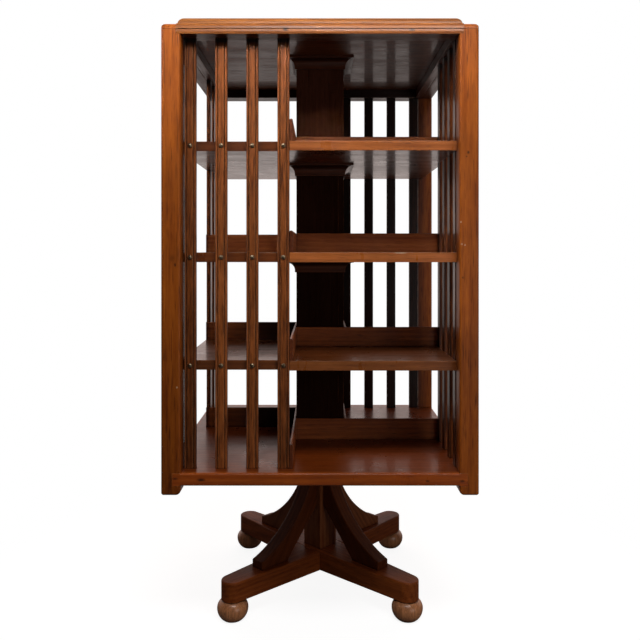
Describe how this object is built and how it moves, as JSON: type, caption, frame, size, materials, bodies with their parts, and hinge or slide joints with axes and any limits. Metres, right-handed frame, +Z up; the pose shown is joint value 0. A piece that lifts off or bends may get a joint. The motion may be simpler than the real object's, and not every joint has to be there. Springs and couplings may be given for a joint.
{
  "type": "revolving bookcase",
  "caption": "Square wooden bookcase on a cross base with bun feet; the slatted case turns freely on a central spindle and holds books on every side.",
  "frame": {"origin": "on the floor under the spindle, at the middle of the feet", "axes": "+Z up along the spindle; -Y is the front in the picture, +X to its right"},
  "size_m": [0.61, 0.61, 1.2241],
  "materials": {
    "post_wood": "red-brown mahogany, polished",
    "top_wood": "red-brown mahogany, polished",
    "shelf_wood": "red-brown mahogany, polished",
    "inner_wood": "dark mahogany, polished",
    "slat_wood": "dark mahogany, polished",
    "base_wood": "very dark stained wood, polished",
    "foot_wood": "worn brown, satin",
    "screw_brass": "aged",
    "bearing_iron": "dark, oiled"
  },
  "bodies": {
    "base": {"brace_1": "base_wood", "brace_2": "base_wood", "brace_3": "base_wood", "brace_4": "base_wood", "bun_foot_1": "foot_wood", "bun_foot_2": "foot_wood", "bun_foot_3": "foot_wood", "bun_foot_4": "foot_wood", "centre_post": "base_wood", "cross_bar_1": "base_wood", "cross_bar_2": "base_wood", "spindle": "bearing_iron", "spindle_flange": "bearing_iron", "spindle_flange_screws": "bearing_iron"},
    "case": {"book_strips_1": "inner_wood", "book_strips_2": "inner_wood", "book_strips_3": "inner_wood", "book_strips_4": "inner_wood", "bottom_board": "shelf_wood", "case_bearing_screws": "bearing_iron", "column_1": "inner_wood", "column_2": "inner_wood", "column_3": "inner_wood", "column_4": "inner_wood", "corner_post_1": "post_wood", "corner_post_2": "post_wood", "corner_post_3": "post_wood", "corner_post_4": "post_wood", "cove_mouldings_1": "inner_wood", "cove_mouldings_2": "inner_wood", "cove_mouldings_3": "inner_wood", "cove_mouldings_4": "inner_wood", "guide_collar": "bearing_iron", "pivot_cup": "bearing_iron", "shelf_1": "shelf_wood", "shelf_2": "shelf_wood", "shelf_3": "shelf_wood", "slat_01": "slat_wood", "slat_02": "slat_wood", "slat_03": "slat_wood", "slat_04": "slat_wood", "slat_05": "slat_wood", "slat_06": "slat_wood", "slat_07": "slat_wood", "slat_08": "slat_wood", "slat_09": "slat_wood", "slat_10": "slat_wood", "slat_11": "slat_wood", "slat_12": "slat_wood", "slat_13": "slat_wood", "slat_14": "slat_wood", "slat_15": "slat_wood", "slat_16": "slat_wood", "slat_screws": "screw_brass", "top_board": "top_wood", "top_rail_1": "top_wood", "top_rail_2": "top_wood", "top_rail_3": "top_wood", "top_rail_4": "top_wood"}
  },
  "joints": [
    {"name": "case_turn", "type": "hinge", "parent": "base", "child": "case", "pos_m": [0, 0, 0], "axis": [0, 0, 1], "continuous": true}
  ]
}
